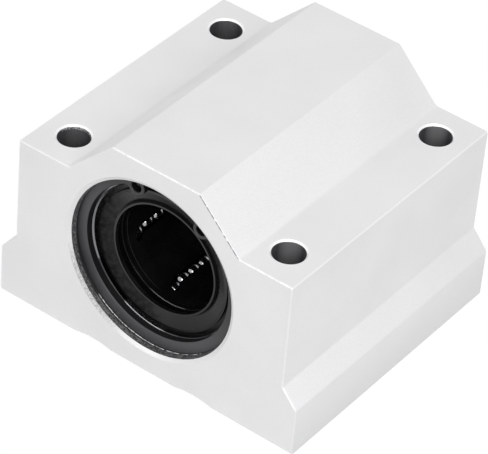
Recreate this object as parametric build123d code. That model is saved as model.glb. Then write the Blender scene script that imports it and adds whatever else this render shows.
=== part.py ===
"""Linear guide carriage: an aluminium pillow block with a closed linear ball bearing for a 25 mm shaft.

Millimetres. The origin is the centre of the flat base, +Z is up and +Y runs along the bore, away from the
front face. The bearing is modelled about its own axis, which is local Z, with local +Z towards the front face
and local +Y up. Clock angles are measured from the top, towards +X.
"""

import os
from math import asin, cos, degrees, radians, sin, sqrt

from build123d import *

# Shaft, balls and their circuits
shaft_diameter = 25.0
ball_diameter = 3.5
ball_gap = 0.02
race_gap = 0.005
circuit_count = 6
first_load_clock = 13.0
turn_balls = 2
return_row_lift = 1.1
return_row_clearance = 0.1

# Bearing sleeve
bearing_length = 59.0
sleeve_wall = 2.8
sleeve_end_chamfer = 0.5
sleeve_groove_depth = 1.0
sleeve_groove_width = 1.85
sleeve_groove_setback = 9.0
seal_seat_step = 0.3
seal_seat_chamfer = 0.3
land_angle = 18.0
land_end_setback = 0.7
land_end_slope = 1.0
land_root = 0.4

# Cage
cage_shaft_gap = 0.2
cage_land_gap = 0.155
channel_clearance = 0.1
cage_end_wall = 1.1
cage_collar_length = 0.9
cage_collar_clearance = 0.1
cage_mouth_chamfer_radial = 0.3
cage_mouth_chamfer_axial = 0.6

# Retaining rings of the cage
cage_ring_play = 0.05
cage_ring_thickness = 1.2
cage_ring_bite = 0.5
cage_ring_width = 2.4
cage_ring_gap_angle = 14.0
cage_ring_groove_clearance = 0.05

# Seals
seal_recess = 0.3
seal_thickness = 2.0
seal_clearance = 0.03
seal_rim_width = 1.2
seal_rim_step = 0.8
seal_face_bevel = 3.2
seal_face_root = 0.5
seal_face_slope = 1.2
seal_lip_width = 0.4
seal_lip_flank = 0.6
seal_lip_length = 0.9
seal_back_taper = 1.7

# Snap rings and their grooves in the block
ring_groove_depth = 1.25
ring_groove_play = 0.05
ring_groove_slack = 0.25
snap_ring_thickness = 1.75
snap_ring_groove_clearance = 0.05
snap_ring_back_width = 3.9
snap_ring_eccentricity = 0.6
snap_ring_gap_clock = 7.4
snap_ring_edge = 0.15
eye_diameter = 2.5
eye_depth = 3.3
eye_from_gap_centre = 27.4
lug_radius = 2.0
lug_root_radius = 1.0

# Block: an extrusion along Y, machined on its ends
bearing_seat_clearance = 0.01
bearing_recess = 4.0
bore_chamfer_radial = 0.8
bore_chamfer_axial = 0.5
bore_lead_in = 0.3
floor_wall = 6.0
roof_wall = 5.5
foot_height = 11.5
foot_overhang = 3.8
flare_rise = 4.3
ridge_width = 21.6
ridge_rise = 10.5
ridge_edge_radius = 0.6
ridge_root_radius = 1.5
shoulder_edge_radius = 0.3
flare_root_radius = 0.8
foot_edge_radius = 1.0
end_deburr = 0.25
relief_groove_offset = 13.0
relief_groove_width = 9.5
relief_groove_depth = 0.65

# Fixing holes: a clearance hole from above, tapped from below
clearance_hole_diameter = 7.0
thread_diameter = 8.0
thread_depth = 18.0
thread_countersink = 0.4
hole_rim_chamfer = 0.35
hole_bore_wall = 1.75
hole_edge_distance = 7.2
hole_end_distance = 8.5

# Rows of balls, one pitch apart on the straights, in the turns and where the two meet
ball_radius = ball_diameter / 2
ball_pitch = ball_diameter + ball_gap
first_turn_angle = 90.0 / turn_balls
turn_radius = ball_pitch / (2 * sin(radians(first_turn_angle)))
first_turn_shift = turn_radius * (1 - cos(radians(first_turn_angle)))
turn_lead = sqrt(ball_pitch**2 - first_turn_shift**2) - turn_radius * sin(radians(first_turn_angle))
channel_radius = ball_radius + channel_clearance

# Radii of the bearing, from the shaft outwards
shaft_radius = shaft_diameter / 2
cage_bore_radius = shaft_radius + cage_shaft_gap
load_row_radius = shaft_radius + ball_radius
return_row_radius = load_row_radius + return_row_lift
land_radius = load_row_radius + ball_radius + race_gap
cage_radius = land_radius - cage_land_gap
sleeve_bore_radius = return_row_radius + ball_radius + return_row_clearance
seal_seat_radius = sleeve_bore_radius + seal_seat_step
cage_ring_radius = seal_seat_radius + cage_ring_bite
bearing_radius = sleeve_bore_radius + sleeve_wall
bore_radius = bearing_radius + bearing_seat_clearance
ring_groove_radius = bearing_radius + ring_groove_depth
eye_circle_radius = ring_groove_radius - snap_ring_groove_clearance - eye_depth

# Lengths of the bearing, each from its middle: the cage holds as many balls as fit
half_bearing = bearing_length / 2
seal_crest = half_bearing - seal_recess
seal_back = seal_crest - seal_thickness
cage_ring_seat = seal_back - cage_ring_play - cage_ring_thickness
half_cage = cage_ring_seat - cage_ring_play
straight_room = 2 * (half_cage - cage_end_wall - channel_radius - turn_radius - turn_lead)
balls_per_straight = int(straight_room / ball_pitch) + 1
straight_length = (balls_per_straight - 1) * ball_pitch + 2 * turn_lead
half_straight = straight_length / 2

# The loaded row and the return row lie in one plane, two turn radii apart
row_angle = degrees(
    2 * asin(sqrt((4 * turn_radius**2 - return_row_lift**2) / (4 * load_row_radius * return_row_radius)))
)

# The block, around the bearing and its fixing holes
half_block = half_bearing + bearing_recess
shaft_height = bearing_radius + floor_wall
block_height = shaft_height + bearing_radius + roof_wall
shoulder_height = block_height - ridge_rise
hole_x = ring_groove_radius + hole_bore_wall + thread_diameter / 2
hole_y = half_block - hole_end_distance
half_body = hole_x + hole_edge_distance
half_width = half_body + foot_overhang


def on_bore(shape):
    """Moves a shape from the bearing's own axis to the bore of the block."""
    return Pos(0, 0, shaft_height) * Rot(90, 0, 0) * shape


def at_clock(shape, clock):
    """Turns a shape from the top of the bearing to a clock angle."""
    return Rot(0, 0, -clock) * shape


def turned(*outline, arc=360):
    """A solid turned about the bearing's axis from (radius, height) points."""
    face = make_face(Plane.XZ * Polyline(*outline, close=True))
    return revolve(face, Axis.Z, arc)


def block_outline():
    """The extrusion's section, seen from the front."""
    half_ridge = ridge_width / 2
    ridge_root = half_ridge + ridge_rise
    right_side = [
        ((half_width, 0), 0),
        ((half_width, foot_height), foot_edge_radius),
        ((half_body, foot_height + flare_rise), flare_root_radius),
        ((half_body, shoulder_height), shoulder_edge_radius),
        ((ridge_root, shoulder_height), ridge_root_radius),
        ((half_ridge, block_height), ridge_edge_radius),
    ]
    left_side = [((-x, z), radius) for (x, z), radius in reversed(right_side)]
    points, radii = zip(*right_side, *left_side)
    section = make_face(FilletPolyline(*points, radius=radii, close=True))
    arc_radius = relief_groove_width**2 / (8 * relief_groove_depth) + relief_groove_depth / 2
    for side in (-1, 1):
        centre = (side * relief_groove_offset, relief_groove_depth - arc_radius)
        section -= Pos(*centre) * Circle(arc_radius)
    return section


def fixing_hole():
    """One hole to cut: clearance from above, thread size from below, both rims eased."""
    thread_radius = thread_diameter / 2
    clear_radius = clearance_hole_diameter / 2
    step = thread_radius - clear_radius
    return turned(
        (0, 0),
        (thread_radius + thread_countersink, 0),
        (thread_radius, thread_countersink),
        (thread_radius, thread_depth),
        (clear_radius, thread_depth + step),
        (clear_radius, shoulder_height - hole_rim_chamfer),
        (clear_radius + hole_rim_chamfer, shoulder_height),
        (0, shoulder_height),
    )


def bearing_bore():
    """The bore to cut, about the bearing's axis, with its chamfers and both ring grooves."""
    groove_inner = half_bearing - ring_groove_play
    groove_outer = half_bearing + snap_ring_thickness + ring_groove_slack
    half = [
        (groove_inner, bore_radius),
        (groove_inner, ring_groove_radius),
        (groove_outer, ring_groove_radius),
        (groove_outer, bore_radius),
        (half_block - bore_chamfer_axial, bore_radius + bore_lead_in),
        (half_block, bore_radius + bore_lead_in + bore_chamfer_radial),
    ]
    front = [(radius, height) for height, radius in half]
    rear = [(radius, -height) for height, radius in reversed(half)]
    return turned((0, -half_block), *rear, *front, (0, half_block))


def make_block():
    block = extrude(Plane.XZ * block_outline(), half_block, both=True)
    ends = block.faces().sort_by(Axis.Y)
    rims = ends[0].outer_wire().edges() + ends[-1].outer_wire().edges()
    block = chamfer(rims, end_deburr)
    block -= on_bore(bearing_bore())
    for place in GridLocations(2 * hole_x, 2 * hole_y, 2, 2):
        block -= place * fixing_hole()
    return block


def make_snap_ring():
    """An internal snap ring with its gap at the top, from height 0 up."""
    outer_radius = ring_groove_radius - snap_ring_groove_clearance
    inner_radius = outer_radius - snap_ring_back_width + snap_ring_eccentricity
    lug = Circle(lug_radius) + Pos(-lug_radius / 2, lug_radius / 2) * Rectangle(lug_radius, lug_radius)
    lug = at_clock(Pos(0, eye_circle_radius) * lug, eye_from_gap_centre)
    ring = Circle(outer_radius) - Pos(0, snap_ring_eccentricity) * Circle(inner_radius)
    ring += lug + mirror(lug, Plane.YZ)
    ring -= snap_ring_gap(outer_radius)
    solid = extrude(ring, snap_ring_thickness)
    roots = solid.edges().filter_by(Axis.Z).sort_by(Axis.Y)[:2]
    solid = fillet(roots, lug_root_radius)
    for side in (-1, 1):
        eye = Pos(0, eye_circle_radius) * Cylinder(eye_diameter / 2, 3 * snap_ring_thickness)
        solid -= at_clock(eye, side * eye_from_gap_centre)
    faces = solid.faces().sort_by(Axis.Z)
    return chamfer(faces[0].edges() + faces[-1].edges(), snap_ring_edge)


def snap_ring_gap(outer_radius):
    """The gap to cut: its sides run along the lugs' flanks."""
    clock = radians(eye_from_gap_centre)
    along = Vector(sin(clock), cos(clock))
    foot = along * eye_circle_radius + Vector(-cos(clock), sin(clock)) * lug_radius
    tip = foot + along * outer_radius
    return make_face(Polyline(foot, tip, (-tip.X, tip.Y), (-foot.X, foot.Y), close=True))


def make_sleeve():
    """The bearing's outer sleeve: raised lands for the loaded rows, relieved for the return rows."""
    groove_radius = bearing_radius - sleeve_groove_depth
    groove_outer = half_bearing - sleeve_groove_setback
    groove_inner = groove_outer - sleeve_groove_width
    cage_groove_radius = cage_ring_radius + cage_ring_groove_clearance
    front = [
        (sleeve_bore_radius, half_cage),
        (cage_groove_radius, half_cage),
        (cage_groove_radius, seal_back),
        (seal_seat_radius, seal_back),
        (seal_seat_radius, half_bearing - seal_seat_chamfer),
        (seal_seat_radius + seal_seat_chamfer, half_bearing),
        (bearing_radius - sleeve_end_chamfer, half_bearing),
        (bearing_radius, half_bearing - sleeve_end_chamfer),
        (bearing_radius, groove_outer),
        (groove_radius, groove_outer),
        (groove_radius, groove_inner),
        (bearing_radius, groove_inner),
    ]
    rear = [(radius, -height) for radius, height in reversed(front)]
    sleeve = turned(*front, *rear)
    half_land = half_straight - land_end_setback
    root_radius = sleeve_bore_radius + land_root
    land = turned(
        (land_radius, half_land - land_end_slope),
        (root_radius, half_land),
        (root_radius, -half_land),
        (land_radius, land_end_slope - half_land),
        arc=land_angle,
    )
    start = Rot(0, 0, 90 - land_angle / 2) * land
    for clock in load_clocks():
        sleeve += at_clock(start, clock)
    return sleeve


def load_clocks():
    """The clock angle of each loaded row."""
    return [first_load_clock + index * 360 / circuit_count for index in range(circuit_count)]


def circuit_plane():
    """The top circuit's plane: x from the loaded row to the return row, y along the bore."""
    load = Vector(0, load_row_radius)
    back = return_row_radius * Vector(-sin(radians(row_angle)), cos(radians(row_angle)))
    across = (back - load).normalized()
    return Plane(origin=(load + back) / 2, x_dir=across, z_dir=across.cross(Vector(0, 0, 1)))


def ball_places():
    """Where the balls of one circuit sit in its plane."""
    half = half_straight - turn_lead
    places = []
    for index in range(balls_per_straight):
        along = index * ball_pitch - half
        places += [(-turn_radius, along), (turn_radius, along)]
    for index in range(turn_balls):
        angle = radians((2 * index + 1) * first_turn_angle)
        for end in (-1, 1):
            places.append((-turn_radius * cos(angle), end * (half_straight + turn_radius * sin(angle))))
    return places


def make_ball_circuit(clock):
    """The balls of one circuit, as separate solids."""
    plane = circuit_plane()
    balls = []
    for x, y in ball_places():
        centre = plane.from_local_coords(Vector(x, y, 0))
        balls.append(on_bore(at_clock(Pos(*centre) * Sphere(ball_radius), clock)))
    return Compound(children=balls)


def circuit_channel():
    """The channel to cut for the circuit whose loaded row is at the top: round-bottomed and open outwards."""
    reach = 2 * channel_clearance + cage_radius
    outer = SlotCenterToCenter(straight_length, 2 * (turn_radius + channel_radius))
    core = SlotCenterToCenter(straight_length, 2 * (turn_radius - channel_radius))
    opening = extrude(Rot(0, 0, 90) * (outer - core), reach)
    bottom = Sketch() + [Pos(side * turn_radius, 0) * Circle(channel_radius) for side in (-1, 1)]
    straights = extrude(Plane.XZ * bottom, half_straight, both=True)
    turns = [Pos(0, end * half_straight, 0) * Torus(turn_radius, channel_radius) for end in (-1, 1)]
    return circuit_plane() * (opening + straights + turns)


def make_cage():
    """The plastic cage: a tube with a collar at each end and a channel for each circuit."""
    collar_radius = sleeve_bore_radius - cage_collar_clearance
    mouth_radius = cage_bore_radius + cage_mouth_chamfer_radial
    front = [
        (cage_bore_radius, half_cage - cage_mouth_chamfer_axial),
        (mouth_radius, half_cage),
        (collar_radius, half_cage),
        (collar_radius, half_cage - cage_collar_length),
        (cage_radius, half_cage - cage_collar_length),
    ]
    rear = [(radius, -height) for radius, height in reversed(front)]
    cage = turned(*front, *rear)
    channel = circuit_channel()
    for clock in load_clocks():
        cage -= at_clock(channel, clock)
    return cage


def make_cage_ring():
    """A split ring that keeps the cage in the sleeve, from height 0 up."""
    arc = 360 - cage_ring_gap_angle
    outline = [
        (cage_ring_radius - cage_ring_width, 0),
        (cage_ring_radius, 0),
        (cage_ring_radius, cage_ring_thickness),
        (cage_ring_radius - cage_ring_width, cage_ring_thickness),
    ]
    return Rot(0, 0, cage_ring_gap_angle / 2) * turned(*outline, arc=arc)


def make_seal():
    """The front seal: a stepped rubber disc with its lip standing proud around the shaft."""
    outer_radius = seal_seat_radius - seal_clearance
    face_radius = seal_seat_radius - seal_rim_width
    face_root = seal_crest - seal_face_slope
    lip_crest = face_root + seal_lip_flank
    return turned(
        (shaft_radius, lip_crest),
        (shaft_radius + seal_lip_width, lip_crest),
        (shaft_radius + seal_face_root, face_root),
        (shaft_radius + seal_face_bevel, seal_crest),
        (face_radius, seal_crest),
        (face_radius, seal_crest - seal_rim_step),
        (outer_radius, seal_crest - seal_rim_step),
        (outer_radius, seal_back),
        (shaft_radius + seal_back_taper, seal_back),
        (shaft_radius, lip_crest - seal_lip_length),
    )


def main():
    os.makedirs("parts", exist_ok=True)
    export_step(make_block(), "parts/block.step")
    export_step(on_bore(make_sleeve()), "parts/bearing_sleeve.step")
    export_step(on_bore(make_cage()), "parts/ball_cage.step")
    for number, clock in enumerate(load_clocks(), start=1):
        export_step(make_ball_circuit(clock), f"parts/ball_circuit_{number}.step")
    snap_ring = at_clock(Pos(0, 0, half_bearing) * make_snap_ring(), snap_ring_gap_clock)
    cage_ring = Pos(0, 0, cage_ring_seat) * make_cage_ring()
    seal = make_seal()
    for end, turn in (("front", 0), ("rear", 180)):
        facing = Rot(0, turn, 0)
        export_step(on_bore(facing * snap_ring), f"parts/snap_ring_{end}.step")
        export_step(on_bore(facing * cage_ring), f"parts/cage_ring_{end}.step")
        export_step(on_bore(facing * seal), f"parts/seal_{end}.step")


main()
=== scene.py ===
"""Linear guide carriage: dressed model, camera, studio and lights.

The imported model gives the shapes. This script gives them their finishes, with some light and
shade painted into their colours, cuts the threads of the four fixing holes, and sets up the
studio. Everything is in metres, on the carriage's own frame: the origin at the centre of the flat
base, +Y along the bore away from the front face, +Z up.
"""
import math
from functools import cached_property

import bpy
from mathutils import Matrix, Vector


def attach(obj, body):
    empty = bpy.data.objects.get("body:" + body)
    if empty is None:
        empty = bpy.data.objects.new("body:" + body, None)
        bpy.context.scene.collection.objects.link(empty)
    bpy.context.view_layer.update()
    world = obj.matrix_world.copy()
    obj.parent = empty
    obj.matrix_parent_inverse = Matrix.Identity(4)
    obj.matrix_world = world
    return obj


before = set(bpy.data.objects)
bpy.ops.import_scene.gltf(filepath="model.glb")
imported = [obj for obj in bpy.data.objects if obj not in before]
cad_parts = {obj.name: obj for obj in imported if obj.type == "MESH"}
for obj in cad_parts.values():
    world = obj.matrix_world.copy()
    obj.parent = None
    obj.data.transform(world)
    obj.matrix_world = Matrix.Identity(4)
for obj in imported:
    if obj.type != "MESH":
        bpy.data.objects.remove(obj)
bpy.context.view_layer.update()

MM = 0.001

# The block's own sizes, in metres. A depth is measured inwards from the nearer end face.
HALF_LENGTH = 33.5 * MM
HALF_WIDTH = 38.0 * MM
HALF_BODY = 34.2 * MM
FOOT_HEIGHT = 11.5 * MM
SHOULDER_HEIGHT = 41.0 * MM
RIDGE_HALF_WIDTH = 10.8 * MM
RIDGE_RISE = 10.5 * MM
END_DEBURR = 0.25 * MM

# The bore, its rim and the groove of its snap ring
BORE_HEIGHT = 26.0 * MM
BORE_RADIUS = 20.01 * MM
LEAD_IN = 0.3 * MM
RIM_WIDTH = 0.8 * MM
RIM_DEPTH = 0.5 * MM
GROOVE_RADIUS = 21.25 * MM
GROOVE_FRONT = 2.0 * MM
GROOVE_BACK = 4.05 * MM

# The depths of the snap ring's face and the cage's end, and the cage's mouth
RING_DEPTH = 2.25 * MM
CAGE_DEPTH = 7.6 * MM
CAGE_MOUTH_RADIUS = 13.0 * MM

# The fixing holes, and their threads
HOLE_SPACING_X = 54.0 * MM
HOLE_SPACING_Y = 50.0 * MM
HOLE_CHAMFER = 0.35 * MM
CLEARANCE_RADIUS = 3.5 * MM
THREAD_RADIUS = 4.0 * MM
THREAD_CREST_RADIUS = 3.4 * MM
THREAD_DEPTH = 18.0 * MM
THREAD_PITCH = 1.25 * MM
THREAD_STEPS = 40

# The thread's ridge: its foot and crest in pitches, and its middle's way into the wall in heights
THREAD_FOOT_SHARE = 0.88
THREAD_CREST_SHARE = 0.3
THREAD_SUNK_SHARE = 0.45

# How far past an edge a mask ends: at a fine step, at a wide one, and just behind an end face
HAIR = 0.01 * MM
REACH = 0.1 * MM
OFF_FACE = 0.004 * MM

WHITE = (1.0, 1.0, 1.0, 1.0)


def srgb(code):
    """A hex colour as linear light."""
    parts = [int(code[place:place + 2], 16) / 255 for place in (0, 2, 4)]
    return [part / 12.92 if part <= 0.04045 else ((part + 0.055) / 1.055) ** 2.4
            for part in parts] + [1.0]


# Shader maths
class Wire:
    """One socket of a node tree, with maths written as Python."""

    def __init__(self, tree, socket):
        self.tree = tree
        self.socket = socket

    def maths(self, operation, *values):
        node = self.tree.nodes.new("ShaderNodeMath")
        node.operation = operation
        for place, value in enumerate(values):
            plug(self.tree, node.inputs[place], value)
        return Wire(self.tree, node.outputs[0])

    def __add__(self, other):
        return self.maths("ADD", self, other)

    def __radd__(self, other):
        return self.maths("ADD", other, self)

    def __sub__(self, other):
        return self.maths("SUBTRACT", self, other)

    def __rsub__(self, other):
        return self.maths("SUBTRACT", other, self)

    def __mul__(self, other):
        return self.maths("MULTIPLY", self, other)

    def __rmul__(self, other):
        return self.maths("MULTIPLY", other, self)

    def __truediv__(self, other):
        return self.maths("DIVIDE", self, other)

    def __lt__(self, other):
        return self.maths("LESS_THAN", self, other)

    def __gt__(self, other):
        return self.maths("GREATER_THAN", self, other)

    def __abs__(self):
        return self.maths("ABSOLUTE", self)

    def most(self, other):
        """The larger of the two."""
        return self.maths("MAXIMUM", self, other)

    def least(self, other):
        """The smaller of the two."""
        return self.maths("MINIMUM", self, other)

    def within(self, low, high):
        """1 between low and high, 0 elsewhere."""
        return (self > low) * (self < high)

    def from_nearer(self, spacing):
        """How far past the nearer of two marks, which stand half the spacing either side of 0."""
        return self - self.maths("SIGN", self) * (spacing / 2)


def plug(tree, socket, value):
    """Link a socket to a wire, or set it to a plain value."""
    if isinstance(value, Wire):
        tree.links.new(value.socket, socket)
    else:
        socket.default_value = value


class Finish:
    """A material being written: one method adds any node."""

    def __init__(self, name):
        self.material = bpy.data.materials.new(name)
        self.material.use_nodes = True
        self.tree = self.material.node_tree
        self.tree.nodes.clear()
        self.place = self.add("ShaderNodeTexCoord")["Object"]

    def add(self, kind, settings=None, **sockets):
        node = self.tree.nodes.new(kind)
        for name, value in (settings or {}).items():
            setattr(node, name, value)
        for name, value in sockets.items():
            plug(self.tree, node.inputs[name.replace("_", " ")], value)
        return {output.name: Wire(self.tree, output) for output in node.outputs}

    @cached_property
    def axes(self):
        """The place on the carriage as three numbers in metres."""
        split = self.add("ShaderNodeSeparateXYZ", Vector=self.place)
        return split["X"], split["Y"], split["Z"]

    @cached_property
    def depth(self):
        """How far in from the nearer end face."""
        return HALF_LENGTH - abs(self.axes[1])

    @cached_property
    def around_bore(self):
        """The distance from the bore's axis, and the way out from it as two numbers."""
        x, _, z = self.axes
        rise = z - BORE_HEIGHT
        return self.length(x, rise), x, rise

    def length(self, first, second):
        """The length of an arrow that goes so far along two axes."""
        arrow = self.add("ShaderNodeCombineXYZ", X=first, Y=second, Z=0.0)["Vector"]
        return self.add("ShaderNodeVectorMath", {"operation": "LENGTH"}, Vector=arrow)["Value"]

    def near_clock(self, clock, inner, outer):
        """1 within the inner angle of a clock angle round the bore, 0 beyond the outer one.

        All three are in degrees. The clock angle is 0 at the top and grows towards +X.
        """
        distance, x, rise = self.around_bore
        along = x * math.sin(math.radians(clock)) + rise * math.cos(math.radians(clock))
        return self.between(along / distance, math.cos(math.radians(outer)),
                            math.cos(math.radians(inner)))

    def noise(self, scale, detail=2.0, roughness=0.5, place=None):
        """Noise from 0 to 1, scale in lumps for each metre."""
        return self.add("ShaderNodeTexNoise", Vector=place or self.place, Scale=scale,
                        Detail=detail, Roughness=roughness)["Fac"]

    def lines(self, x, y, z, roughness=0.5):
        """Noise drawn out one way, with its lumps for each metre given for each axis."""
        drawn_out = self.add("ShaderNodeMapping", Vector=self.place, Scale=(x, y, z))["Vector"]
        return self.noise(1.0, roughness=roughness, place=drawn_out)

    def between(self, value, low, high, start=0.0, end=1.0):
        """The value's place between low and high, from start to end."""
        return self.add("ShaderNodeMapRange", Value=value, From_Min=low, From_Max=high,
                        To_Min=start, To_Max=end)["Result"]

    def waver(self, noise, start=0.0, end=1.0):
        """The body of a noise, without its rare extremes, from start to end."""
        return self.between(noise, 0.3, 0.7, start, end)

    def blend(self, share, first, second):
        """A share of the second colour over the first."""
        node = self.tree.nodes.new("ShaderNodeMix")
        node.data_type = "RGBA"
        plug(self.tree, node.inputs[0], share)
        plug(self.tree, node.inputs[6], first)
        plug(self.tree, node.inputs[7], second)
        return Wire(self.tree, node.outputs[2])

    def mottle(self, noise, first, second):
        """A colour that wavers between two hex colours."""
        return self.blend(self.waver(noise), srgb(first), srgb(second))

    def bump(self, height, depth):
        """A bump of a real depth in metres."""
        return self.add("ShaderNodeBump", Height=height, Strength=1.0, Distance=depth)["Normal"]

    def film(self, share, **sockets):
        """Another surface that covers a share of the first one."""
        return share, self.add("ShaderNodeBsdfPrincipled", **sockets)["BSDF"]

    def close(self, over=None, **sockets):
        """End the material in its Principled surface, with a film over it where there is one."""
        surface = self.add("ShaderNodeBsdfPrincipled", **sockets)["BSDF"]
        if over:
            mixed = self.tree.nodes.new("ShaderNodeMixShader")
            for socket, value in zip(mixed.inputs, (over[0], surface, over[1])):
                plug(self.tree, socket, value)
            surface = Wire(self.tree, mixed.outputs[0])
        output = self.tree.nodes.new("ShaderNodeOutputMaterial")
        plug(self.tree, output.inputs["Surface"], surface)
        return self.material


# Finishes
class BlastedAluminium(Finish):
    """Fine blasted aluminium, machined in the bore and the holes, milled under the base."""

    def __init__(self):
        super().__init__("blasted_aluminium")
        self.grain = self.noise(4200.0, 3.0, 0.6)
        self.chatter = self.noise(2600.0, 3.0, 0.7)
        self.nicks = self.noise(1100.0, 3.0, 0.7)
        self.turned = self.lines(900.0, 5000.0, 900.0, 0.6)
        self.milled = self.lines(70.0, 1800.0, 70.0)

        x, y, z = self.axes
        self.side = x.from_nearer(HOLE_SPACING_X)
        self.along = y.from_nearer(HOLE_SPACING_Y)
        self.from_hole = self.length(self.side, self.along)
        ridge_root = RIDGE_HALF_WIDTH + RIDGE_RISE
        self.flank = x.within(RIDGE_HALF_WIDTH, ridge_root + REACH) * (z > SHOULDER_HEIGHT)
        self.low_side = self.between(x * 0.35 + (z - BORE_HEIGHT), -14.0 * MM, -20.0 * MM)
        self.level_edge = z > SHOULDER_HEIGHT - 0.3 * MM
        self.right_hand = self.between(x, -12.0 * MM, -8.0 * MM)

    def blasted(self):
        """The blasted skin, with painted light and shade on the slopes, the foot sides and the long
        edges.
        """
        x, y, z = self.axes
        flare = (x > HALF_BODY + REACH) * (z > FOOT_HEIGHT + REACH)
        slope = (self.flank + flare) * (self.depth > OFF_FACE)
        foot_side_shade = (abs(x) > HALF_WIDTH - REACH) * self.between(z, FOOT_HEIGHT, 0.0)
        long_edge_highlight = (abs(x) > HALF_BODY - 0.28 * MM) * (abs(z - SHOULDER_HEIGHT) < 0.28 * MM)
        to_front = self.between(y, HALF_LENGTH, -HALF_LENGTH)
        pits = self.between(self.grain, 0.35, 0.75, 0.0, 0.25 + 0.2 * slope)
        colour = self.mottle(self.noise(60.0), "E3E3E4", "E8E8E8")
        # Painted light: the right slopes lighter, most at the front.
        colour = self.blend(slope * to_front, colour, srgb("EEEEEF"))
        # Painted shade: the sides of the feet darker towards the bottom.
        colour = self.blend(foot_side_shade, colour, srgb("DDDDDE"))
        # Painted highlight along the shoulders' outer long edges.
        colour = self.blend(long_edge_highlight * 0.35, colour, srgb("F8F8F8"))
        return self.blend(pits, colour, srgb("D4D4D5"))

    def deburred(self, skin):
        """The broken edge round each end: bright nicks with a painted highlight; a broken dark line
        on the flank.
        """
        nicks_and_highlight = self.between(self.nicks, 0.35, 0.6)
        # Painted highlight: the nicks brighter on the level edges, at the right hand and above the
        # feet.
        nicks_and_highlight = nicks_and_highlight * (0.35 + 0.65 * self.level_edge) * (0.25 + 0.75 * self.right_hand)
        nicks_and_highlight = nicks_and_highlight * (0.15 + 0.85 * (self.axes[2] > FOOT_HEIGHT))
        dark = self.flank * (self.depth < 0.13 * MM) * self.between(self.nicks, 0.7, 0.5)
        colour = self.blend(nicks_and_highlight * (1 - self.flank), skin, srgb("F8F8F8"))
        return self.blend(dark, colour, srgb("6E6E70"))

    def bored(self):
        """The turned bore and its groove painted dark as shade; a painted highlight low on the
        groove's edge.
        """
        from_bore, x, rise = self.around_bore
        # Painted shadow: a dark band in front of the ring groove, wider at the low left.
        shade_start = 1.7 * MM - 0.2 * MM * self.near_clock(-145.0, 30.0, 50.0)
        edge = self.depth.within(shade_start, GROOVE_FRONT + HAIR)
        edge = edge * (from_bore < BORE_RADIUS + REACH)
        # Painted highlight on the groove's front edge, low down, broken up by noise.
        torn = edge * (self.depth > 1.79 * MM) * (x < 13.0 * MM)
        torn = torn * self.between(rise, -14.6 * MM, -15.4 * MM)
        # Painted shade inside the ring groove.
        groove = self.depth.within(GROOVE_FRONT - HAIR, GROOVE_BACK + 5 * HAIR)
        # The bore wall painted dark as shade, streaked by its turning marks.
        streaks = self.between(self.turned + 1.3 * (self.chatter - 0.5), 0.34, 0.66)
        colour = self.blend(streaks, srgb("343437"), srgb("7E7E7E"))
        colour = self.blend(edge * 0.9, colour, srgb("161617"))
        colour = self.blend(groove, colour, srgb("0C0C0C"))
        return self.blend(torn * self.between(self.nicks, 0.4, 0.55), colour, srgb("E8E8E8"))

    def rimmed(self, skin):
        """The bore's chamfer: bright low down and upper right, speckled painted shade at the low
        left.
        """
        upper_right = self.near_clock(40.0, 65.0, 85.0)
        low_left = self.near_clock(-131.0, 12.0, 32.0)
        speckle = self.between(self.chatter, 0.58, 0.42)
        colour = self.blend(self.low_side.most(upper_right), skin, srgb("E2E2E2"))
        # Painted shade at the low left, speckled.
        return self.blend(low_left * (0.2 + 0.5 * speckle), colour, srgb("8C8C8C"))

    def drilled(self):
        """The holes' walls painted dark as shade, a painted lit band, torn metal at the front left
        one's mouth.
        """
        x, y, z = self.axes
        lit = self.between((0.88 * self.along - 0.47 * self.side) / self.from_hole, 0.7, 0.98)
        torn = (x < 0.0) * (y < 0.0) * (self.along > 0.0) * (z > SHOULDER_HEIGHT - 0.95 * MM)
        # The walls painted dark as shade, with a painted lit band, stronger in the right-hand
        # holes.
        colour = self.mottle(self.turned, "48484A", "5A5A5C")
        colour = self.blend(lit * (0.45 + 0.55 * (x > 0.0)), colour, srgb("8C8C8E"))
        return self.blend(torn * self.between(self.chatter, 0.46, 0.58), colour, srgb("E4E4E4"))

    def finished(self):
        """Each kind of surface laid where it belongs."""
        z = self.axes[2]
        from_bore = self.around_bore[0]
        hole_top = SHOULDER_HEIGHT - HOLE_CHAMFER
        rim_radius = BORE_RADIUS + LEAD_IN + RIM_WIDTH
        underneath = z < 5 * HAIR
        sawn_edge = self.depth.within(OFF_FACE, END_DEBURR + 0.002 * MM)
        sawn_edge = sawn_edge * (from_bore > GROOVE_RADIUS + 0.26 * MM)
        in_bore = (from_bore < GROOVE_RADIUS + 0.16 * MM) * (self.depth > RIM_DEPTH + 2 * HAIR)
        on_rim = (from_bore < rim_radius - HAIR) * (self.depth < RIM_DEPTH + 2 * HAIR)
        in_hole = z.within(HOLE_CHAMFER, hole_top + HAIR)
        in_hole = in_hole * (self.from_hole < THREAD_RADIUS + 0.3 * MM)
        hole_rim_highlight = (self.from_hole < CLEARANCE_RADIUS + 0.4 * MM) * (z > hole_top - HAIR)

        skin = self.blasted()
        colour = self.blend(underneath, skin, self.mottle(self.milled, "CDCDCE", "E0E0E1"))
        colour = self.blend(sawn_edge, colour, self.deburred(skin))
        colour = self.blend(in_bore, colour, self.bored())
        colour = self.blend(on_rim, colour, self.rimmed(skin))
        colour = self.blend(in_hole, colour, self.drilled())
        # Painted highlight on the chamfers round the holes' mouths.
        colour = self.blend(hole_rim_highlight, colour, srgb("FAFAFA"))

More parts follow.
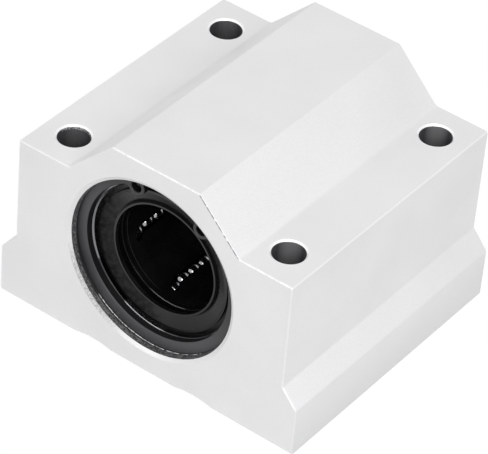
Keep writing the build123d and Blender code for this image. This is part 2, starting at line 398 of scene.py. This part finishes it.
        machined = in_bore + in_hole + underneath
        bright_edge = sawn_edge * self.level_edge * (1 - self.flank) * self.right_hand
        bright_cut = on_rim * self.low_side + hole_rim_highlight + 0.3 * bright_edge
        rough = 0.58 + 0.1 * (self.grain - 0.5) - 0.16 * machined - 0.2 * bright_cut
        drawn = self.lines(1500.0, 25.0, 1500.0)
        relief = self.grain * (1 - machined) + 0.35 * drawn * (1 - machined)
        relief = relief + 0.8 * self.milled * underneath
        relief = relief + 0.9 * self.turned * (in_bore + in_hole) + 0.8 * self.nicks * sawn_edge
        return self.close(Base_Color=colour, Metallic=0.25 + 0.35 * bright_cut, Roughness=rough,
                          Normal=self.bump(relief, 0.012 * MM))


def ground_steel():
    """Hardened and ground bearing steel, its glint painted: dulled in patches, bright low down."""
    make = Finish("ground_steel")
    rings = make.lines(400.0, 9000.0, 400.0)
    patches = make.between(make.noise(95.0, roughness=0.6), 0.46, 0.6)
    painted_glint = make.near_clock(-168.0, 14.0, 19.0)
    painted_dark_runs = make.near_clock(-134.0, 13.0, 18.0) + 0.8 * make.near_clock(146.0, 12.0, 17.0)
    # Painted shade dulls the glint in patches; a painted glint low down; darker at low left, lower
    # right.
    painted_dulling = (0.6 + 0.25 * patches - 0.7 * painted_glint + painted_dark_runs).least(0.94)
    colour = make.blend(painted_dulling, make.mottle(rings, "B4B5B8", "C6C7C9"), srgb("2E2E30"))
    return make.close(Base_Color=colour, Metallic=1.0, Roughness=make.waver(rings, 0.2, 0.34),
                      Normal=make.bump(rings, 0.002 * MM))


def polished_balls():
    """Polished bearing steel under a film of oil."""
    make = Finish("polished_balls")
    cloud = make.noise(900.0, 1.0)
    return make.close(Base_Color=make.mottle(cloud, "9A9A9C", "A6A6A8"), Metallic=1.0,
                      Roughness=make.waver(cloud, 0.04, 0.09))


def moulded_cage():
    """Black moulded cage resin, a little oily, with painted shade and highlights at its mouth."""
    make = Finish("moulded_cage")
    mouth = make.depth.within(CAGE_DEPTH + 0.13 * MM, CAGE_DEPTH + 0.65 * MM)
    # Painted shade: a matt black film over the mouth chamfer.
    mouth_shade_film = make.film(mouth * 0.92, Base_Color=srgb("050505"), Roughness=0.7,
                     Specular_IOR_Level=0.02)
    end_edge = (make.depth < CAGE_DEPTH + REACH) * (make.around_bore[0] < CAGE_MOUTH_RADIUS + REACH)
    # Painted highlights: thin lines on the end edge, brightest low down, and one further in at the
    # left.
    edge_glints = end_edge * (0.03 + 0.45 * make.near_clock(-178.0, 14.0, 22.0))
    glint_line = abs(make.depth - CAGE_DEPTH - 1.3 * MM) < 0.08 * MM
    edge_glints = edge_glints + 0.07 * glint_line * make.near_clock(-95.0, 50.0, 75.0)
    skin = make.noise(2500.0)
    cloud = make.noise(200.0)
    colour = make.blend(edge_glints, make.mottle(cloud, "0C0C0C", "121212"), srgb("A8A8A8"))
    return make.close(mouth_shade_film, Base_Color=colour, Roughness=make.waver(cloud, 0.2, 0.3),
                      Specular_IOR_Level=0.14, Normal=make.bump(skin, 0.004 * MM))


def spring_steel():
    """Drawn and hardened spring wire of the cage rings."""
    make = Finish("spring_steel")
    lines = make.lines(300.0, 6000.0, 300.0)
    return make.close(Base_Color=make.mottle(lines, "77797D", "96989B"), Metallic=1.0,
                      Roughness=make.waver(lines, 0.3, 0.45), Normal=make.bump(lines, 0.003 * MM))


def seal_rubber():
    """Black moulded seal rubber, under a dark film of painted shade at its low left and lower
    right.
    """
    make = Finish("seal_rubber")
    from_bore, x, rise = make.around_bore
    # Painted shade: a dark matt film over the face at the low left, most towards its outer edge.
    low_left_shade = make.between(0.9 * x + 0.45 * rise, 0.0, -9.0 * MM) * (from_bore > 13.3 * MM)
    low_left_shade = low_left_shade * make.between(from_bore, 14.0 * MM, 16.2 * MM, 0.66, 0.92)
    low_left_shade = low_left_shade * make.between(make.noise(800.0, 3.0, 0.65), 0.38, 0.6, 0.72, 1.04)
    # Painted shade at the lower right, fainter.
    lower_right_shade = make.near_clock(145.0, 15.0, 75.0)
    lower_right_shade = lower_right_shade * make.between(from_bore, 13.0 * MM, 16.0 * MM, 0.35, 0.55)
    shade_film = make.film(low_left_shade.most(lower_right_shade), Base_Color=srgb("040404"), Roughness=0.6,
                       Specular_IOR_Level=0.05)
    skin = make.noise(3000.0, 3.0, 0.6)
    cloud = make.noise(180.0)
    return make.close(shade_film, Base_Color=make.mottle(cloud, "0C0C0C", "141414"),
                      Roughness=make.waver(cloud, 0.26, 0.36), Normal=make.bump(skin, 0.006 * MM))


def black_phosphate():
    """Phosphated spring steel of the snap rings: painted paler low and left, painted shade on
    walls.
    """
    make = Finish("black_phosphate")
    skin = make.noise(3500.0, 3.0, 0.6)
    cloud = make.noise(120.0)
    low = make.between(make.around_bore[2], -4.0 * MM, -13.0 * MM)
    # Painted light: the rings paler low down and at the left.
    pale = low.most(make.near_clock(-80.0, 18.0, 42.0))
    colour = make.blend(pale, make.mottle(cloud, "2A2A2C", "343436"), srgb("434345"))
    # Painted shade: a dark matt film over the rings' inner walls.
    walls = make.film((make.depth > RING_DEPTH + 0.16 * MM) * 0.75, Base_Color=srgb("060606"),
                      Roughness=0.6, Specular_IOR_Level=0.1)
    return make.close(walls, Base_Color=colour, Metallic=0.2,
                      Roughness=make.waver(cloud, 0.34, 0.44), Normal=make.bump(skin, 0.004 * MM))


def cut_thread():
    """Freshly cut thread in the aluminium."""
    make = Finish("cut_thread")
    marks = make.noise(2600.0)
    return make.close(Base_Color=make.mottle(marks, "8E8E90", "B2B2B4"), Metallic=0.6,
                      Roughness=make.waver(marks, 0.32, 0.46), Normal=make.bump(marks, 0.003 * MM))


finishes = {
    "block": BlastedAluminium().finished(),
    "bearing_sleeve": ground_steel(),
    "ball_cage": moulded_cage(),
    "ball_circuit": polished_balls(),
    "cage_ring": spring_steel(),
    "seal": seal_rubber(),
    "snap_ring": black_phosphate(),
}

for name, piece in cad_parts.items():
    kind = next(kind for kind in finishes if name.startswith(kind))
    if not piece.material_slots:
        piece.data.materials.append(finishes[kind])
    for slot in piece.material_slots:
        slot.material = finishes[kind]


# Threads
class Nodes:
    """A Geometry Nodes tree being written."""

    def __init__(self, name, inputs):
        self.tree = bpy.data.node_groups.new(name, "GeometryNodeTree")
        interface = self.tree.interface
        interface.new_socket("Geometry", in_out="OUTPUT", socket_type="NodeSocketGeometry")
        self.sockets = {}
        for label, kind in inputs:
            item = interface.new_socket(label, in_out="INPUT", socket_type=kind)
            self.sockets[label] = item.identifier
        entry = self.tree.nodes.new("NodeGroupInput")
        self.given = {label: entry.outputs[label] for label, _ in inputs}

    def add(self, kind, settings=None, **sockets):
        node = self.tree.nodes.new(kind)
        for name, value in (settings or {}).items():
            setattr(node, name, value)
        for name, value in sockets.items():
            self.plug(node.inputs[name.replace("_", " ")], value)
        return node

    def plug(self, socket, value):
        if isinstance(value, bpy.types.NodeSocket):
            self.tree.links.new(value, socket)
        else:
            socket.default_value = value

    def maths(self, operation, first, second):
        node = self.tree.nodes.new("ShaderNodeMath")
        node.operation = operation
        self.plug(node.inputs[0], first)
        self.plug(node.inputs[1], second)
        return node.outputs[0]


def bake(name, nodes, values):
    """Run a tree with its inputs set, and keep the result as a plain mesh object."""
    carrier = bpy.data.objects.new(name + "_carrier", bpy.data.meshes.new(name + "_carrier"))
    bpy.context.scene.collection.objects.link(carrier)
    modifier = carrier.modifiers.new("make", "NODES")
    modifier.node_group = nodes.tree
    for label, value in values.items():
        modifier[nodes.sockets[label]] = value
    evaluated = carrier.evaluated_get(bpy.context.evaluated_depsgraph_get())
    mesh = bpy.data.meshes.new_from_object(evaluated)
    carrier.modifiers.remove(modifier)
    bpy.data.objects.remove(carrier)
    piece = bpy.data.objects.new(name, mesh)
    bpy.context.scene.collection.objects.link(piece)
    return piece


def thread_ridges():
    """The screw thread in each of the four holes: one ridge on a helix, placed at each hole."""
    nodes = Nodes("thread_ridges", [
        ("Spacing X", "NodeSocketFloat"), ("Spacing Y", "NodeSocketFloat"),
        ("Root Radius", "NodeSocketFloat"), ("Crest Radius", "NodeSocketFloat"),
        ("Pitch", "NodeSocketFloat"), ("Start", "NodeSocketFloat"), ("Length", "NodeSocketFloat"),
        ("Finish", "NodeSocketMaterial")])
    given = nodes.given
    turns = nodes.maths("DIVIDE", given["Length"], given["Pitch"])
    helix = nodes.add("GeometryNodeCurveSpiral", Resolution=THREAD_STEPS, Rotations=turns,
                      Start_Radius=given["Root Radius"], End_Radius=given["Root Radius"],
                      Height=given["Length"], Reverse=True)
    upright = nodes.add("GeometryNodeSetCurveNormal", {"mode": "Z_UP"}, Curve=helix.outputs[0])
    height = nodes.maths("SUBTRACT", given["Root Radius"], given["Crest Radius"])
    foot = nodes.maths("MULTIPLY", given["Pitch"], THREAD_FOOT_SHARE)
    crest = nodes.maths("MULTIPLY", given["Pitch"], THREAD_CREST_SHARE)
    profile = nodes.add("GeometryNodeCurvePrimitiveQuadrilateral", {"mode": "TRAPEZOID"},
                        Bottom_Width=foot, Top_Width=crest, Height=height, Offset=0.0)
    sunk = nodes.add("ShaderNodeCombineXYZ", Y=0.0, Z=0.0,
                     X=nodes.maths("MULTIPLY", height, -THREAD_SUNK_SHARE))
    inward = nodes.add("GeometryNodeTransform", Geometry=profile.outputs[0],
                       Translation=sunk.outputs[0], Rotation=(0.0, 0.0, math.pi / 2))
    ridge = nodes.add("GeometryNodeCurveToMesh", Curve=upright.outputs[0],
                      Profile_Curve=inward.outputs[0], Fill_Caps=True)
    holes = nodes.add("GeometryNodeMeshGrid", Size_X=given["Spacing X"], Size_Y=given["Spacing Y"],
                      Vertices_X=2, Vertices_Y=2)
    rise = nodes.add("ShaderNodeCombineXYZ", X=0.0, Y=0.0, Z=given["Start"])
    raised = nodes.add("GeometryNodeTransform", Geometry=holes.outputs[0],
                       Translation=rise.outputs[0])
    placed = nodes.add("GeometryNodeInstanceOnPoints", Points=raised.outputs[0],
                       Instance=ridge.outputs[0])
    real = nodes.add("GeometryNodeRealizeInstances", Geometry=placed.outputs[0])
    coated = nodes.add("GeometryNodeSetMaterial", Geometry=real.outputs[0],
                       Material=given["Finish"])
    end = nodes.tree.nodes.new("NodeGroupOutput")
    nodes.plug(end.inputs[0], coated.outputs[0])
    return bake("fixing_threads", nodes, {
        "Spacing X": HOLE_SPACING_X, "Spacing Y": HOLE_SPACING_Y, "Root Radius": THREAD_RADIUS,
        "Crest Radius": THREAD_CREST_RADIUS, "Pitch": THREAD_PITCH,
        "Start": THREAD_PITCH / 2, "Length": THREAD_DEPTH - THREAD_PITCH, "Finish": cut_thread()})


threads = thread_ridges()
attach(threads, "root")

# Studio
SKY_LEVEL = 0.68
PAPER_GREY = (0.8, 0.8, 0.8, 1.0)
FLOOR_HALF_SIZE = 4.0
FLOOR_DROP = 0.02 * MM
FLOOR_GLOW = 1.04
FLOOR_GLOW_SHARE = 0.9


def seen_share(tree):
    """1 for what the camera, reflections and clear things see, 0 for the light that falls."""
    path = tree.nodes.new("ShaderNodeLightPath")
    camera, glossy, clear = [Wire(tree, path.outputs[f"Is {kind} Ray"])
                             for kind in ("Camera", "Glossy", "Transmission")]
    return camera.most(glossy).most(clear)


def make_sky():
    """White where it is seen, and a plain level of light from all round."""
    world = bpy.data.worlds.new("studio")
    bpy.context.scene.world = world
    world.use_nodes = True
    tree = world.node_tree
    sky = tree.nodes["Background"]
    plug(tree, sky.inputs["Color"], WHITE)
    plug(tree, sky.inputs["Strength"], SKY_LEVEL + (1 - SKY_LEVEL) * seen_share(tree))


def make_floor():
    """A pale floor that fades into the white background and keeps a faint shadow."""
    mesh = bpy.data.meshes.new("studio_floor")
    corners = [(x * FLOOR_HALF_SIZE, y * FLOOR_HALF_SIZE, -FLOOR_DROP)
               for x, y in ((-1, -1), (1, -1), (1, 1), (-1, 1))]
    mesh.from_pydata(corners, [], [(0, 1, 2, 3)])
    floor = bpy.data.objects.new("studio_floor", mesh)
    bpy.context.scene.collection.objects.link(floor)
    material = bpy.data.materials.new("studio_floor")
    material.use_nodes = True
    tree = material.node_tree
    tree.nodes.clear()
    paper = tree.nodes.new("ShaderNodeBsdfDiffuse")
    plug(tree, paper.inputs["Color"], PAPER_GREY)
    glow = tree.nodes.new("ShaderNodeEmission")
    plug(tree, glow.inputs["Color"], WHITE)
    plug(tree, glow.inputs["Strength"], FLOOR_GLOW)
    mix = tree.nodes.new("ShaderNodeMixShader")
    plug(tree, mix.inputs[0], seen_share(tree) * FLOOR_GLOW_SHARE)
    tree.links.new(paper.outputs[0], mix.inputs[1])
    tree.links.new(glow.outputs[0], mix.inputs[2])
    output = tree.nodes.new("ShaderNodeOutputMaterial")
    tree.links.new(mix.outputs[0], output.inputs["Surface"])
    mesh.materials.append(material)


def softbox(name, place, size, power):
    """A square soft lamp that faces the carriage."""
    lamp = bpy.data.lights.new(name, "AREA")
    lamp.shape = "SQUARE"
    lamp.size = size
    lamp.energy = power
    holder = bpy.data.objects.new(name, lamp)
    holder.location = place
    aim = Vector((0.0, 0.0, BORE_HEIGHT)) - Vector(place)
    holder.rotation_euler = aim.to_track_quat("-Z", "Y").to_euler()
    bpy.context.scene.collection.objects.link(holder)


make_sky()
make_floor()
softbox("key_softbox", (0.58, -0.5, 0.62), 0.5, 3.65)
softbox("top_softbox", (-0.25, -0.35, 0.95), 0.5, 0.85)
softbox("front_softbox", (-0.5, -0.9, 0.3), 0.5, 0.65)

# The photograph's viewpoint: a long lens, from the right, the front and above
VIEW_AZIMUTH = math.radians(34.151)
VIEW_ELEVATION = math.radians(39.044)
VIEW_ROLL = math.radians(5.176)
VIEW_DISTANCE = 656.42 * MM
VIEW_TARGET = Vector((4.0, -7.32, 23.78)) * MM
FOCUS_IN_PIXELS = 3229.8
PHOTO_WIDTH = 488
SENSOR_WIDTH = 36.0


def make_camera():
    """A camera that looks at the target from the viewpoint, rolled to match the photograph."""
    back = Vector((math.sin(VIEW_AZIMUTH) * math.cos(VIEW_ELEVATION),
                   -math.cos(VIEW_AZIMUTH) * math.cos(VIEW_ELEVATION), math.sin(VIEW_ELEVATION)))
    right = Vector((math.cos(VIEW_AZIMUTH), math.sin(VIEW_AZIMUTH), 0.0))
    up = back.cross(right)
    rolled_right = math.cos(VIEW_ROLL) * right + math.sin(VIEW_ROLL) * up
    rolled_up = math.cos(VIEW_ROLL) * up - math.sin(VIEW_ROLL) * right
    turn = Matrix((rolled_right, rolled_up, back)).transposed()
    lens = bpy.data.cameras.new("photo_camera")
    lens.sensor_width = SENSOR_WIDTH
    lens.lens = FOCUS_IN_PIXELS / PHOTO_WIDTH * SENSOR_WIDTH
    lens.clip_start = 0.01
    camera = bpy.data.objects.new("photo_camera", lens)
    camera.matrix_world = Matrix.Translation(VIEW_TARGET + back * VIEW_DISTANCE) @ turn.to_4x4()
    bpy.context.scene.collection.objects.link(camera)
    bpy.context.scene.camera = camera


make_camera()
bpy.context.scene.view_settings.view_transform = "Standard"
